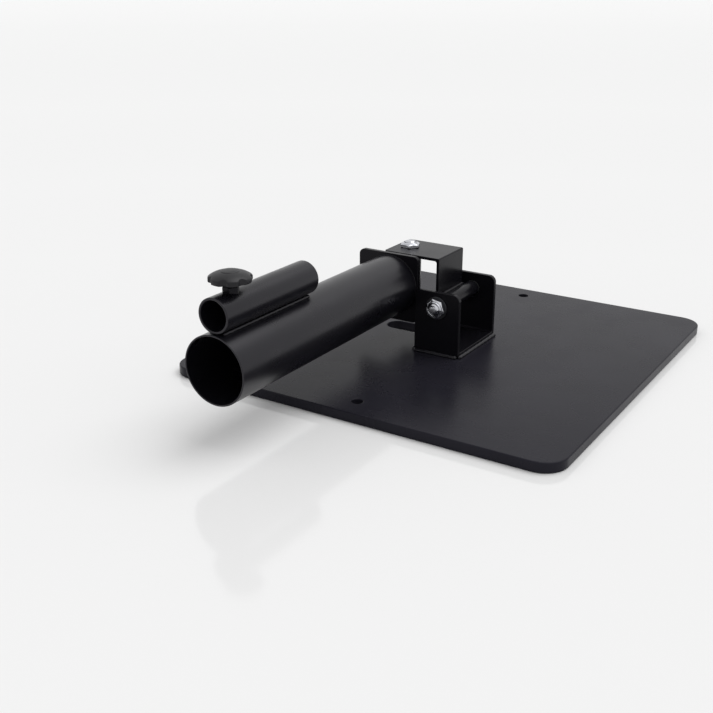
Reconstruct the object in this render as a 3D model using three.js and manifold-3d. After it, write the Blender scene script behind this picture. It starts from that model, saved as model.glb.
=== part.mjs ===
// Barbell pivot attachment: a floor plate carries a U bracket, a yoke tilts on an axle
// through the bracket's ears, and a bar tube swivels on a bolt through the yoke. A small tube
// with a clamp knob lies on the bar tube.
// Millimetres. X runs to the right, Y to the back and Z up. The origin is on the floor
// plate's underside, below the middle of the axle. The axle lies along Y, and the bar tube
// points to -Y.

import * as THREE from 'three';
import { mergeVertices } from 'three/addons/utils/BufferGeometryUtils.js';
import Module from 'manifold-3d';

const wasm = await Module();
wasm.setup();

// Clearances, and how far a cutting body runs past what it cuts
const fitGap = 0.3;
const runningGap = 0.1;
const endPlay = 0.25;
const boltPlay = 0.25;
const cutOverrun = 2;

// Floor plate, with two holes for floor bolts and a slot beside the yoke
const plateWidth = 350;
const plateDepth = 356;
const plateOffset = 3.3;
const plateThick = 8.5;
const plateCornerRadius = 20;
const plateHoleRadius = 4.75;
const plateHoleInset = 21;
const slotWidth = 20;
const slotLength = 44;
const slotReach = 76.5;
const slotOffset = 13.2;

// Bolts, lock nuts and washers, all of one size
const boltRadius = 5;
const boltTipChamfer = 1;
const boltEndShown = 1.3;
const threadPitch = 1.5;
const threadDepth = 0.55;
const hexAcrossFlats = 16;
const hexChamfer = 0.9;
const boltHeadHeight = 6.4;
const nutHexHeight = 3.4;
const nutCollarHeight = 0.9;
const nutCollarRadius = 7.2;
const nutCollarRound = 0.5;
const insertThick = 1.2;
const insertRadius = 6.2;
const washerRadius = 10;
const washerThick = 1.2;
const pivotHexTurn = THREE.MathUtils.degToRad(9);
const axleHexTurn = THREE.MathUtils.degToRad(12);

// Bar tube, its end plate and its neck. The tube lies a little outside the pivot.
const barTubeRadius = 26.5;
const barTubeWall = 1.3;
const barTubeLength = 238.6;
const barTubeOffset = 3;
const endPlateLeftMargin = 4.6;
const endPlateRightMargin = 1.7;
const endPlateTopMargin = 2;
const endPlateBottomMargin = 4.6;
const endPlateThick = 4;
const endPlateCornerRadius = 5;
const neckThick = 9;
const neckHeight = 40;
const tubeWeldLeg = 1.5;
const neckWeldRadius = 2.6;

// U bracket on the plate
const bracketWidth = 42.5;
const bracketInnerSpan = 64;
const bracketHeight = 56.3;
const bracketThick = 4;
const bracketInnerRadius = 1.5;
const bracketOuterRadius = 2;
const earCornerRadius = 6;
const earSideGap = 2.55;
const bracketWeldRadius = 2.3;
const bracketWeldInset = 0.3;

// Axle, and the tube of the yoke that turns on it
const axleAbovePlate = 42.5;
const axleTubeRadius = 7;
const thrustThick = 1.5;
const thrustRadius = 7;

// Yoke, a strap bent to a C that opens to the left. The tube on the axle sinks into its web.
const yokeWidth = 45;
const yokeThick = 2.6;
const yokeInnerHeight = 50.4;
const yokeInnerRadius = 2;
const yokeOuterRadius = 1.2;
const yokeTubeSink = 1.2;
const yokeEndMargin = 13.4;
const yokeCornerRadius = 2.5;
const yokeSwingGap = 1.2;
const yokeWeldRadius = 2.4;

// Swivel in the yoke
const tubeAboveAxle = 11;
const sleeveRadius = 10;
const bushWall = 1.4;
const bushFlangeThick = 1.5;
const bushFlangeRadius = 9.4;
const bushLength = 14;

// Small tube on the bar tube, with its clamp
const smallTubeRadius = 13.1;
const smallTubeWall = 1.8;
const smallTubeLength = 108.8;
const smallTubeSetback = 2.2;
const smallTubeWeldRadius = 1.9;
const smallWeldInset = 3;
const clampInset = 20.3;
const studRadius = 3;
const studPitch = 1;
const studThreadDepth = 0.35;
const studReach = 2.5;
const studInKnob = 7;
const studTipChamfer = 0.6;
const clampNutFlats = 11;
const clampNutHeight = 3.4;
const clampNutChamfer = 0.6;

// Star knob
const knobRadius = 15.8;
const knobHeight = 11.4;
const knobBossRadius = 6;
const knobDiscRadius = 4.7;
const knobDiscHeight = 0.5;
const knobEdgeRound = 0.6;
const knobLobes = 7;
const knobScallopRadius = 4.2;
const knobScallopDepth = 1.9;
const knobTurn = THREE.MathUtils.degToRad(-69.7);

// How far a weld bead's middle stands off the faces that it joins, as a share of its radius
const beadStandShare = 0.35;

// Facets around the round pieces
const tubeFacets = 64;
const boltFacets = 32;
const beadFacets = 12;
const cornerSteps = 6;

// Heights
const plateTop = plateThick;
const axleZ = plateTop + axleAbovePlate;
const tubeZ = axleZ + tubeAboveAxle;
const yokeHeight = yokeInnerHeight + 2 * yokeThick;
const yokeTop = tubeZ + yokeHeight / 2;
const yokeBottom = tubeZ - yokeHeight / 2;

// Places in plan: the bar tube passes beside the bracket's ear, and the end plate swings
// past the yoke's corners
const barTubeX = -(bracketWidth / 2 + earSideGap + barTubeRadius);
const pivotX = barTubeX + barTubeOffset;
const webX = yokeTubeSink - axleTubeRadius - fitGap;
const yokeEndX = pivotX - yokeEndMargin;
const yokeCornerX = yokeEndMargin - yokeCornerRadius;
const yokeCornerY = yokeWidth / 2 - yokeCornerRadius;
const yokeSwing = Math.hypot(yokeCornerX, yokeCornerY) + yokeCornerRadius;
const endPlateBack = yokeSwing + yokeSwingGap;
const endPlateFront = endPlateBack + endPlateThick;
const endPlateX = barTubeX + (endPlateRightMargin - endPlateLeftMargin) / 2;
const endPlateWidth = 2 * barTubeRadius + endPlateLeftMargin + endPlateRightMargin;
const endPlateZ = tubeZ + (endPlateTopMargin - endPlateBottomMargin) / 2;
const endPlateHeight = 2 * barTubeRadius + endPlateTopMargin + endPlateBottomMargin;
const earInnerY = bracketInnerSpan / 2;
const earOuterY = earInnerY + bracketThick;
const barTubeMouthY = -(endPlateFront + barTubeLength);
const smallTubeZ = tubeZ + barTubeRadius + fitGap + smallTubeRadius;
const smallTubeFrontY = barTubeMouthY + smallTubeSetback;
const smallTubeBackY = smallTubeFrontY + smallTubeLength;
const smallTubeTop = smallTubeZ + smallTubeRadius;
const clampY = smallTubeFrontY + clampInset;
const knobBottomZ = smallTubeTop + clampNutHeight + fitGap;

// Bores
const boltBore = boltRadius + runningGap;
const boltHole = boltRadius + boltPlay;
const sleeveBore = boltBore + bushWall + runningGap;
const studHole = studRadius + runningGap;
const nutHeight = nutHexHeight + nutCollarHeight;

// Materials

function paint(color, roughness, metalness) {
  return () => new THREE.MeshStandardMaterial({ color, roughness, metalness });
}

const blackPaint = paint(0x161617, 0.38, 0);
const zinc = paint(0xc4c6cc, 0.3, 1);
const nylon = paint(0x2b2b2c, 0.55, 0);
const blackPlastic = paint(0x1a1a1c, 0.45, 0);

// Solids from geometries and back

function toSolid(geometry) {
  const bare = geometry.clone();
  bare.deleteAttribute('normal');
  bare.deleteAttribute('uv');
  const merged = mergeVertices(bare);
  const corners = merged.index.array;
  const faces = [];
  for (let i = 0; i < corners.length; i += 3) {
    const [a, b, c] = corners.slice(i, i + 3);
    if (a !== b && b !== c && c !== a) faces.push(a, b, c);
  }
  return new wasm.Manifold(new wasm.Mesh({
    numProp: 3,
    vertProperties: new Float32Array(merged.attributes.position.array),
    triVerts: new Uint32Array(faces),
  }));
}

function toGeometry(solid) {
  const mesh = solid.getMesh();
  const geometry = new THREE.BufferGeometry();
  geometry.setAttribute('position', new THREE.BufferAttribute(mesh.vertProperties, 3));
  geometry.setIndex(new THREE.BufferAttribute(mesh.triVerts, 1));
  geometry.computeVertexNormals();
  return geometry;
}

// Directions that a shape's own x, y and extrusion take
const right = new THREE.Vector3(1, 0, 0);
const back = new THREE.Vector3(0, 1, 0);
const up = new THREE.Vector3(0, 0, 1);
const front = back.clone().negate();
const standing = new THREE.Matrix4().makeBasis(right, up, front);
const across = new THREE.Matrix4().makeBasis(back, up, right);

// A shape drawn in X and Y, raised from z = low to z = high
function raised(shape, low, high) {
  const geometry = new THREE.ExtrudeGeometry(shape, {
    depth: high - low,
    bevelEnabled: false,
    curveSegments: cornerSteps,
  });
  return geometry.translate(0, 0, low);
}

// A shape drawn in X and Z, running from y = near to y = far
function alongY(shape, near, far) {
  return raised(shape, 0, far - near).applyMatrix4(standing).translate(0, far, 0);
}

// A shape drawn in Y and Z, running from x = low to x = high
function alongX(shape, low, high) {
  const geometry = raised(shape, 0, high - low);
  return geometry.applyMatrix4(across).translate(low, 0, 0);
}

// A closed profile of [radius, height] pairs, turned about Z
function turned(profile, facets) {
  const points = profile.map(([radius, height]) => new THREE.Vector2(radius, height));
  return new THREE.LatheGeometry(points, facets).rotateX(Math.PI / 2);
}

// The same, turned about Y, with heights along +Y
function turnedAboutY(profile, facets) {
  const points = profile.map(([radius, height]) => new THREE.Vector2(radius, height));
  return new THREE.LatheGeometry(points, facets);
}

// The profile of a plain ring, or of a disc where the bore is 0
function ring(bore, radius, low, high) {
  return [[bore, low], [radius, low], [radius, high], [bore, high], [bore, low]];
}

// The profile of a rod
function rod(radius, low, high) {
  return [[0, low], [radius, low], [radius, high], [0, high]];
}

// A rectangle with round corners, centred on (x, y)
function roundedRectangle(x, y, width, height, radius) {
  const shape = new THREE.Shape();
  const cornerX = width / 2 - radius;
  const cornerY = height / 2 - radius;
  shape.absarc(x + cornerX, y + cornerY, radius, 0, Math.PI / 2);
  shape.absarc(x - cornerX, y + cornerY, radius, Math.PI / 2, Math.PI);
  shape.absarc(x - cornerX, y - cornerY, radius, Math.PI, 1.5 * Math.PI);
  shape.absarc(x + cornerX, y - cornerY, radius, 1.5 * Math.PI, 2 * Math.PI);
  return shape;
}

function box(x0, x1, y0, y1, z0, z1) {
  const geometry = new THREE.BoxGeometry(x1 - x0, y1 - y0, z1 - z0);
  return geometry.translate((x0 + x1) / 2, (y0 + y1) / 2, (z0 + z1) / 2);
}

function hexagon(acrossFlats) {
  const radius = acrossFlats / Math.sqrt(3);
  const corners = [];
  for (let i = 0; i < 6; i += 1) {
    const angle = i * Math.PI / 3;
    corners.push(new THREE.Vector2(radius * Math.cos(angle), radius * Math.sin(angle)));
  }
  return new THREE.Shape(corners);
}

// A hexagonal prism whose corners are turned off at the top, and at the bottom if asked
function hexPrism(acrossFlats, chamfer, low, high, bothEnds) {
  const radius = acrossFlats / Math.sqrt(3);
  const bottomRadius = bothEnds ? acrossFlats / 2 : radius;
  const bottomChamfer = bothEnds ? chamfer : 0;
  const envelope = turned([
    [0, low],
    [bottomRadius, low],
    [radius, low + bottomChamfer],
    [radius, high - chamfer],
    [acrossFlats / 2, high],
    [0, high],
  ], tubeFacets);
  const prism = toSolid(raised(hexagon(acrossFlats), low, high));
  return prism.intersect(toSolid(envelope));
}

// The profile of a threaded shank from its tip at 0 up to a height, with ridges near the tip
function threadedShank(radius, tipChamfer, pitch, depth, ridges, top) {
  const profile = [[0, 0], [radius - tipChamfer, 0]];
  for (let i = 0; i < ridges; i += 1) {
    const start = tipChamfer + i * pitch;
    profile.push([radius - Math.min(depth, tipChamfer), start]);
    profile.push([radius, start + pitch / 2]);
  }
  profile.push([radius - depth, tipChamfer + ridges * pitch]);
  profile.push([radius, tipChamfer + (ridges + 1) * pitch]);
  profile.push([radius, top]);
  profile.push([0, top]);
  return profile;
}

// Bolt with its head's underside at z = 0 and its shank going down
function hexBolt(length) {
  const ridges = Math.ceil((boltEndShown - boltTipChamfer) / threadPitch);
  const profile = threadedShank(
    boltRadius, boltTipChamfer, threadPitch, threadDepth, ridges, length + boltHeadHeight / 2);
  const shank = toSolid(turned(profile, boltFacets).translate(0, 0, -length));
  return shank.add(hexPrism(hexAcrossFlats, hexChamfer, 0, boltHeadHeight, false));
}

// Lock nut that hangs down from z = 0, with a collar that holds a nylon ring at its lower end
function lockNut() {
  const hex = hexPrism(hexAcrossFlats, hexChamfer, -nutHexHeight, 0, true);
  const collar = toSolid(turned([
    [0, -nutHeight],
    [nutCollarRadius - nutCollarRound, -nutHeight],
    [nutCollarRadius, -nutHeight + nutCollarRound],
    [nutCollarRadius, -nutHexHeight / 2],
    [0, -nutHexHeight / 2],
  ], boltFacets));
  const bore = toSolid(turned(rod(boltBore, -nutHeight - cutOverrun, cutOverrun), boltFacets));
  const seat = toSolid(turned(
    rod(insertRadius + runningGap, -nutHeight - cutOverrun, -nutHeight + insertThick + runningGap),
    boltFacets));
  return hex.add(collar).subtract(bore).subtract(seat);
}

function nylonInsert() {
  return toSolid(turned(
    ring(boltBore, insertRadius, -nutHeight, -nutHeight + insertThick), boltFacets));
}

function washer(bore, radius, low, high) {
  return toSolid(turned(ring(bore, radius, low, high), boltFacets));
}

// A straight weld bead: a rod along Y, in X and Z, that the bodies beside it cut back
function beadAlongY(x, z, radius, near, far, neighbours) {
  const profile = rod(radius, near, far);
  let bead = toSolid(turnedAboutY(profile, beadFacets).translate(x, 0, z));
  for (const neighbour of neighbours) bead = bead.subtract(neighbour);
  return bead;
}

// The part: every piece is a mesh in one group

const part = new THREE.Group();

function addPiece(name, solid, material, parent = part) {
  const mesh = new THREE.Mesh(toGeometry(solid), material());
  mesh.name = name;
  parent.add(mesh);
  return mesh;
}

// Floor plate

function basePlate() {
  const outline = roundedRectangle(-plateOffset, 0, plateWidth, plateDepth, plateCornerRadius);
  const slotX = -slotReach + slotLength / 2;
  outline.holes.push(roundedRectangle(slotX, slotOffset, slotLength, slotWidth, slotWidth / 2));
  let plate = toSolid(raised(outline, 0, plateTop));
  const holeY = plateDepth / 2 - plateHoleInset;
  for (const y of [-holeY, holeY]) {
    const hole = turned(rod(plateHoleRadius, -cutOverrun, plateTop + cutOverrun), boltFacets);
    plate = plate.subtract(toSolid(hole.translate(-plateOffset, y, 0)));
  }
  return plate;
}

// U bracket: a strip bent up at both ends, bored for the axle

function bracketSection() {
  const top = plateTop + bracketHeight;
  const outerY = earOuterY - bracketOuterRadius;
  const outerZ = plateTop + bracketOuterRadius;
  const innerY = earInnerY - bracketInnerRadius;
  const innerZ = plateTop + bracketThick + bracketInnerRadius;
  const shape = new THREE.Shape();
  shape.moveTo(-earOuterY, top);
  shape.absarc(-outerY, outerZ, bracketOuterRadius, Math.PI, 1.5 * Math.PI);
  shape.absarc(outerY, outerZ, bracketOuterRadius, 1.5 * Math.PI, 2 * Math.PI);
  shape.lineTo(earOuterY, top);
  shape.lineTo(earInnerY, top);
  shape.absarc(innerY, innerZ, bracketInnerRadius, 2 * Math.PI, 1.5 * Math.PI, true);
  shape.absarc(-innerY, innerZ, bracketInnerRadius, 1.5 * Math.PI, Math.PI, true);
  shape.lineTo(-earInnerY, top);
  return shape;
}

function baseBracket() {
  const half = bracketWidth / 2;
  const top = plateTop + bracketHeight;
  const strip = toSolid(alongX(bracketSection(), -half, half));
  const outline = new THREE.Shape();
  outline.moveTo(-half, plateTop);
  outline.lineTo(half, plateTop);
  outline.absarc(half - earCornerRadius, top - earCornerRadius, earCornerRadius, 0, Math.PI / 2);
  outline.absarc(-half + earCornerRadius, top - earCornerRadius, earCornerRadius,
    Math.PI / 2, Math.PI);
  const envelope = toSolid(alongY(outline, -earOuterY - cutOverrun, earOuterY + cutOverrun));
  const bore = turnedAboutY(
    rod(boltHole, -earOuterY - cutOverrun, earOuterY + cutOverrun), boltFacets);
  return strip.intersect(envelope).subtract(toSolid(bore.translate(0, 0, axleZ)));
}

// A bead along the right side of the bracket's foot. Turns about Z put it on the other sides.
function bracketWeld(halfAcross, halfAlong) {
  const stand = beadStandShare * bracketWeldRadius;
  const reach = 2 * bracketWeldRadius + cutOverrun;
  const end = halfAlong - bracketWeldInset;
  const below = toSolid(box(
    0, halfAcross + reach, -halfAlong, halfAlong, plateTop - reach, plateTop));
  const beside = toSolid(box(0, halfAcross, -halfAlong, halfAlong, plateTop, plateTop + reach));
  return beadAlongY(
    halfAcross + stand, plateTop + stand, bracketWeldRadius, -end, end, [below, beside]);
}

// Yoke: a C strap, the tube that turns on the axle, and the welds between them

function yokeSection() {
  const outerX = webX - yokeOuterRadius;
  const outerHalf = yokeHeight / 2 - yokeOuterRadius;
  const innerX = webX - yokeThick - yokeInnerRadius;
  const innerHalf = yokeInnerHeight / 2 - yokeInnerRadius;
  const shape = new THREE.Shape();
  shape.moveTo(yokeEndX, yokeBottom);
  shape.absarc(outerX, tubeZ - outerHalf, yokeOuterRadius, 1.5 * Math.PI, 2 * Math.PI);
  shape.absarc(outerX, tubeZ + outerHalf, yokeOuterRadius, 0, Math.PI / 2);
  shape.lineTo(yokeEndX, yokeTop);
  shape.lineTo(yokeEndX, yokeTop - yokeThick);
  shape.absarc(innerX, tubeZ + innerHalf, yokeInnerRadius, Math.PI / 2, 0, true);
  shape.absarc(innerX, tubeZ - innerHalf, yokeInnerRadius, 2 * Math.PI, 1.5 * Math.PI, true);
  shape.lineTo(yokeEndX, yokeBottom + yokeThick);
  return shape;
}

function yokeStrap() {
  const half = yokeWidth / 2;
  const strap = toSolid(alongY(yokeSection(), -half, half));
  const length = webX - yokeEndX + cutOverrun + yokeCornerRadius;
  const plan = roundedRectangle(
    yokeEndX + length / 2, 0, length, yokeWidth, yokeCornerRadius);
  const envelope = toSolid(raised(plan, yokeBottom - cutOverrun, yokeTop + cutOverrun));
  const bore = turned(rod(boltHole, yokeBottom - cutOverrun, yokeTop + cutOverrun), boltFacets);
  const groove = turnedAboutY(
    rod(axleTubeRadius + fitGap, -half - cutOverrun, half + cutOverrun), boltFacets);
  return strap.intersect(envelope)
    .subtract(toSolid(bore.translate(pivotX, 0, 0)))
    .subtract(toSolid(groove.translate(0, 0, axleZ)));
}

const axleTubeHalf = earInnerY - thrustThick - 2 * endPlay;

function yokeAxleTube() {
  const tube = turnedAboutY(
    ring(boltBore, axleTubeRadius, -axleTubeHalf, axleTubeHalf), boltFacets);
  return toSolid(tube.translate(0, 0, axleZ));
}

function yokeWeld(side) {
  const half = yokeWidth / 2;
  const stand = beadStandShare * yokeWeldRadius;
  const reach = 2 * yokeWeldRadius + cutOverrun;
  const x = webX + stand;
  const z = Math.sqrt((axleTubeRadius + stand) ** 2 - x ** 2);
  const web = toSolid(box(webX - reach, webX, -half, half, yokeBottom, yokeTop));
  const tube = turnedAboutY(rod(axleTubeRadius + fitGap / 2, -half, half), boltFacets);
  return beadAlongY(
    x, axleZ + side * z, yokeWeldRadius, -half, half,
    [web, toSolid(tube.translate(0, 0, axleZ))]);
}

// Swivel: sleeve, flanged bushes, neck, end plate and the two tubes

function pivotSleeve() {
  const half = yokeInnerHeight / 2 - bushFlangeThick - endPlay;
  return toSolid(turned(ring(sleeveBore, sleeveRadius, -half, half), tubeFacets)
    .translate(pivotX, 0, tubeZ));
}

// A bush with its flange on top, pushed down into the sleeve
function pivotBush() {
  const flangeTop = yokeInnerHeight / 2 - endPlay;
  const flangeBottom = flangeTop - bushFlangeThick;
  const bodyRadius = sleeveBore - runningGap;
  return toSolid(turned([
    [boltBore, flangeBottom - bushLength],
    [bodyRadius, flangeBottom - bushLength],
    [bodyRadius, flangeBottom],
    [bushFlangeRadius, flangeBottom],
    [bushFlangeRadius, flangeTop],
    [boltBore, flangeTop],
    [boltBore, flangeBottom - bushLength],
  ], boltFacets));
}

function neckPlate() {
  const plate = toSolid(box(
    pivotX - neckThick / 2, pivotX + neckThick / 2, -endPlateBack, 0,
    tubeZ - neckHeight / 2, tubeZ + neckHeight / 2));
  const sleeve = turned(
    rod(sleeveRadius + fitGap, tubeZ - neckHeight, tubeZ + neckHeight), tubeFacets);
  return plate.subtract(toSolid(sleeve.translate(pivotX, 0, 0)));
}

function neckWeld(side) {
  const stand = beadStandShare * neckWeldRadius;
  const reach = 2 * neckWeldRadius + cutOverrun;
  const faceX = pivotX + side * neckThick / 2;
  const low = tubeZ - neckHeight / 2;
  const high = tubeZ + neckHeight / 2;
  const bead = turned(rod(neckWeldRadius, low, high), beadFacets)
    .translate(faceX + side * stand, -endPlateBack + stand, 0);
  const plate = toSolid(box(
    faceX - reach, faceX + reach, -endPlateBack - reach, -endPlateBack,
    low - cutOverrun, high + cutOverrun));
  const neck = toSolid(box(
    pivotX - neckThick / 2, pivotX + neckThick / 2, -endPlateBack - reach, 0,
    low - cutOverrun, high + cutOverrun));
  return toSolid(bead).subtract(plate).subtract(neck);
}

function endPlate() {
  const outline = roundedRectangle(
    endPlateX, endPlateZ, endPlateWidth, endPlateHeight, endPlateCornerRadius);
  return toSolid(alongY(outline, -endPlateFront, -endPlateBack));
}

function barTube() {
  const tube = turnedAboutY(
    ring(barTubeRadius - barTubeWall, barTubeRadius, barTubeMouthY, -endPlateFront), tubeFacets);
  return toSolid(tube.translate(barTubeX, 0, tubeZ));
}

function barTubeWeld() {
  const inner = barTubeRadius + fitGap / 2;
  const bulgeShare = 0.62;
  const bulge = tubeWeldLeg * bulgeShare;
  const weld = turnedAboutY([
    [inner, -endPlateFront - tubeWeldLeg],
    [inner + bulge, -endPlateFront - bulge],
    [inner + tubeWeldLeg, -endPlateFront],
    [inner, -endPlateFront],
    [inner, -endPlateFront - tubeWeldLeg],
  ], tubeFacets);
  return toSolid(weld.translate(barTubeX, 0, tubeZ));
}

function smallTubeSolid(radius, overrun) {
  const rodProfile = rod(radius, smallTubeFrontY - overrun, smallTubeBackY + overrun);
  return toSolid(turnedAboutY(rodProfile, tubeFacets).translate(barTubeX, 0, smallTubeZ));
}

function smallTube() {
  const bore = smallTubeSolid(smallTubeRadius - smallTubeWall, cutOverrun);
  const hole = turned(
    rod(studHole, smallTubeZ, smallTubeTop + cutOverrun), boltFacets);
  return smallTubeSolid(smallTubeRadius, 0)
    .subtract(bore)
    .subtract(toSolid(hole.translate(barTubeX, clampY, 0)));
}

function smallTubeWeld(side) {
  const stand = beadStandShare * smallTubeWeldRadius;
  const distance = smallTubeZ - tubeZ;
  const fromBar = barTubeRadius + stand;
  const fromSmall = smallTubeRadius + fitGap + stand;
  const z = (distance ** 2 + fromBar ** 2 - fromSmall ** 2) / (2 * distance);
  const x = Math.sqrt(fromBar ** 2 - z ** 2);
  const near = smallTubeFrontY + smallWeldInset;
  const far = smallTubeBackY - smallWeldInset;
  const barProfile = rod(barTubeRadius + fitGap / 2, barTubeMouthY, -endPlateFront);
  const bar = turnedAboutY(barProfile, tubeFacets).translate(barTubeX, 0, tubeZ);
  return beadAlongY(
    barTubeX + side * x, tubeZ + z, smallTubeWeldRadius, near, far,
    [toSolid(bar), smallTubeSolid(smallTubeRadius + fitGap / 2, 0)]);
}

// Clamp: a nut seated on the small tube, a threaded stud and a star knob

function clampNut() {
  const hex = hexPrism(
    clampNutFlats, clampNutChamfer, smallTubeZ, smallTubeTop + clampNutHeight, false);
  const bore = toSolid(turned(
    rod(studHole, smallTubeZ - cutOverrun, smallTubeTop + clampNutHeight + cutOverrun),
    boltFacets));
  return hex.subtract(bore).translate([barTubeX, clampY, 0])
    .subtract(smallTubeSolid(smallTubeRadius + fitGap, cutOverrun));
}

function clampScrew() {
  const tip = smallTubeTop - smallTubeWall - studReach;
  const length = knobBottomZ + studInKnob - tip;
  const ridges = Math.floor((knobBottomZ - tip) / studPitch) - 1;
  const profile = threadedShank(
    studRadius, studTipChamfer, studPitch, studThreadDepth, ridges, length);
  return toSolid(turned(profile, boltFacets).translate(barTubeX, clampY, tip));
}

function knobHead() {
  const rimLowShare = 0.32;
  const rimHighShare = 0.56;
  const domeShares = [[0.83, 0.76], [0.6, 0.9]];
  const domeTop = knobHeight - knobDiscHeight;
  const profile = [
    [0, 0],
    [knobBossRadius, 0],
    [knobBossRadius, knobEdgeRound],
    [knobRadius - knobEdgeRound, knobHeight * rimLowShare - knobEdgeRound],
    [knobRadius, knobHeight * rimLowShare],
    [knobRadius, knobHeight * rimHighShare],
    [knobRadius - knobEdgeRound, knobHeight * rimHighShare + knobEdgeRound],
  ];
  for (const [radiusShare, heightShare] of domeShares) {
    profile.push([knobRadius * radiusShare, domeTop * heightShare]);
  }
  profile.push([knobDiscRadius, domeTop]);
  profile.push([knobDiscRadius, knobHeight]);
  profile.push([0, knobHeight]);
  let knob = toSolid(turned(profile, tubeFacets));
  const scallopX = knobRadius - knobScallopDepth + knobScallopRadius;
  for (let i = 0; i < knobLobes; i += 1) {
    const angle = knobTurn + i * 2 * Math.PI / knobLobes;
    const scallop = turned(
      rod(knobScallopRadius, -cutOverrun, knobHeight + cutOverrun), boltFacets);
    scallop.translate(scallopX * Math.cos(angle), scallopX * Math.sin(angle), 0);
    knob = knob.subtract(toSolid(scallop));
  }
  const socket = toSolid(turned(rod(studHole, -cutOverrun, studInKnob + fitGap), boltFacets));
  return knob.subtract(socket);
}

// Assembly of the base

addPiece('base_plate', basePlate(), blackPaint);
addPiece('base_bracket', baseBracket(), blackPaint);
const sideWeld = bracketWeld(bracketWidth / 2, earOuterY);
addPiece('bracket_weld_right', sideWeld, blackPaint);
addPiece('bracket_weld_left', sideWeld, blackPaint).rotation.z = Math.PI;
const endWeld = bracketWeld(earOuterY, bracketWidth / 2);
addPiece('bracket_weld_back', endWeld, blackPaint).rotation.z = Math.PI / 2;
addPiece('bracket_weld_front', endWeld, blackPaint).rotation.z = -Math.PI / 2;

const axle = new THREE.Group();
axle.position.z = axleZ;
axle.rotation.x = -Math.PI / 2;
part.add(axle);

const axleLength = 2 * (earOuterY + washerThick) + nutHeight + boltEndShown;
const axleHead = addPiece('axle_bolt', hexBolt(axleLength), zinc, axle);
axleHead.position.z = earOuterY + washerThick;
axleHead.rotation.z = axleHexTurn;
const axleNut = addPiece('axle_nut', lockNut(), zinc, axle);
axleNut.position.z = -earOuterY - washerThick;
axleNut.rotation.z = axleHexTurn;
const axleInsert = addPiece('axle_nut_insert', nylonInsert(), nylon, axle);
axleInsert.position.z = -earOuterY - washerThick;
addPiece('axle_washer_back',
  washer(boltHole, washerRadius, earOuterY, earOuterY + washerThick), zinc, axle);
addPiece('axle_washer_front',
  washer(boltHole, washerRadius, -earOuterY - washerThick, -earOuterY), zinc, axle);
addPiece('axle_spacer_back',
  washer(boltHole, thrustRadius, earInnerY - endPlay - thrustThick, earInnerY - endPlay),
  nylon, axle);
addPiece('axle_spacer_front',
  washer(boltHole, thrustRadius, endPlay - earInnerY, endPlay + thrustThick - earInnerY),
  nylon, axle);

// Assembly of the yoke. Its pivot bolt points up, with the nut on top.

addPiece('yoke_strap', yokeStrap(), blackPaint);
addPiece('yoke_axle_tube', yokeAxleTube(), blackPaint);
addPiece('yoke_weld_upper', yokeWeld(1), blackPaint);
addPiece('yoke_weld_lower', yokeWeld(-1), blackPaint);

const pivot = new THREE.Group();
pivot.position.set(pivotX, 0, tubeZ);
pivot.rotation.x = Math.PI;
part.add(pivot);

const pivotLength = yokeHeight + washerThick + nutHeight + boltEndShown;
const pivotBolt = addPiece('pivot_bolt', hexBolt(pivotLength), zinc, pivot);
pivotBolt.position.z = yokeHeight / 2 + washerThick;
pivotBolt.rotation.z = pivotHexTurn;
const pivotNut = addPiece('pivot_nut', lockNut(), zinc, pivot);
pivotNut.position.z = -yokeHeight / 2;
pivotNut.rotation.z = pivotHexTurn;
const pivotInsert = addPiece('pivot_nut_insert', nylonInsert(), nylon, pivot);
pivotInsert.position.z = -yokeHeight / 2;
addPiece('pivot_washer',
  washer(boltHole, washerRadius, yokeHeight / 2, yokeHeight / 2 + washerThick), zinc, pivot);

// Assembly of the swivel

addPiece('pivot_sleeve', pivotSleeve(), blackPaint);
addPiece('pivot_bush_lower', pivotBush(), nylon, pivot);
addPiece('pivot_bush_upper', pivotBush(), nylon, pivot).rotation.x = Math.PI;
addPiece('neck_plate', neckPlate(), blackPaint);
addPiece('neck_weld_left', neckWeld(-1), blackPaint);
addPiece('neck_weld_right', neckWeld(1), blackPaint);
addPiece('end_plate', endPlate(), blackPaint);
addPiece('bar_tube', barTube(), blackPaint);
addPiece('bar_tube_weld', barTubeWeld(), blackPaint);
addPiece('small_tube', smallTube(), blackPaint);
addPiece('small_tube_weld_left', smallTubeWeld(-1), blackPaint);
addPiece('small_tube_weld_right', smallTubeWeld(1), blackPaint);
addPiece('clamp_nut', clampNut(), blackPaint);

// Assembly of the clamp

addPiece('clamp_screw', clampScrew(), zinc);
const knob = addPiece('knob_head', knobHead(), blackPlastic);
knob.position.set(barTubeX, clampY, knobBottomZ);

export default part;
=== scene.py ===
from math import ceil, cos, exp, pi, radians, sin, sqrt

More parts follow.
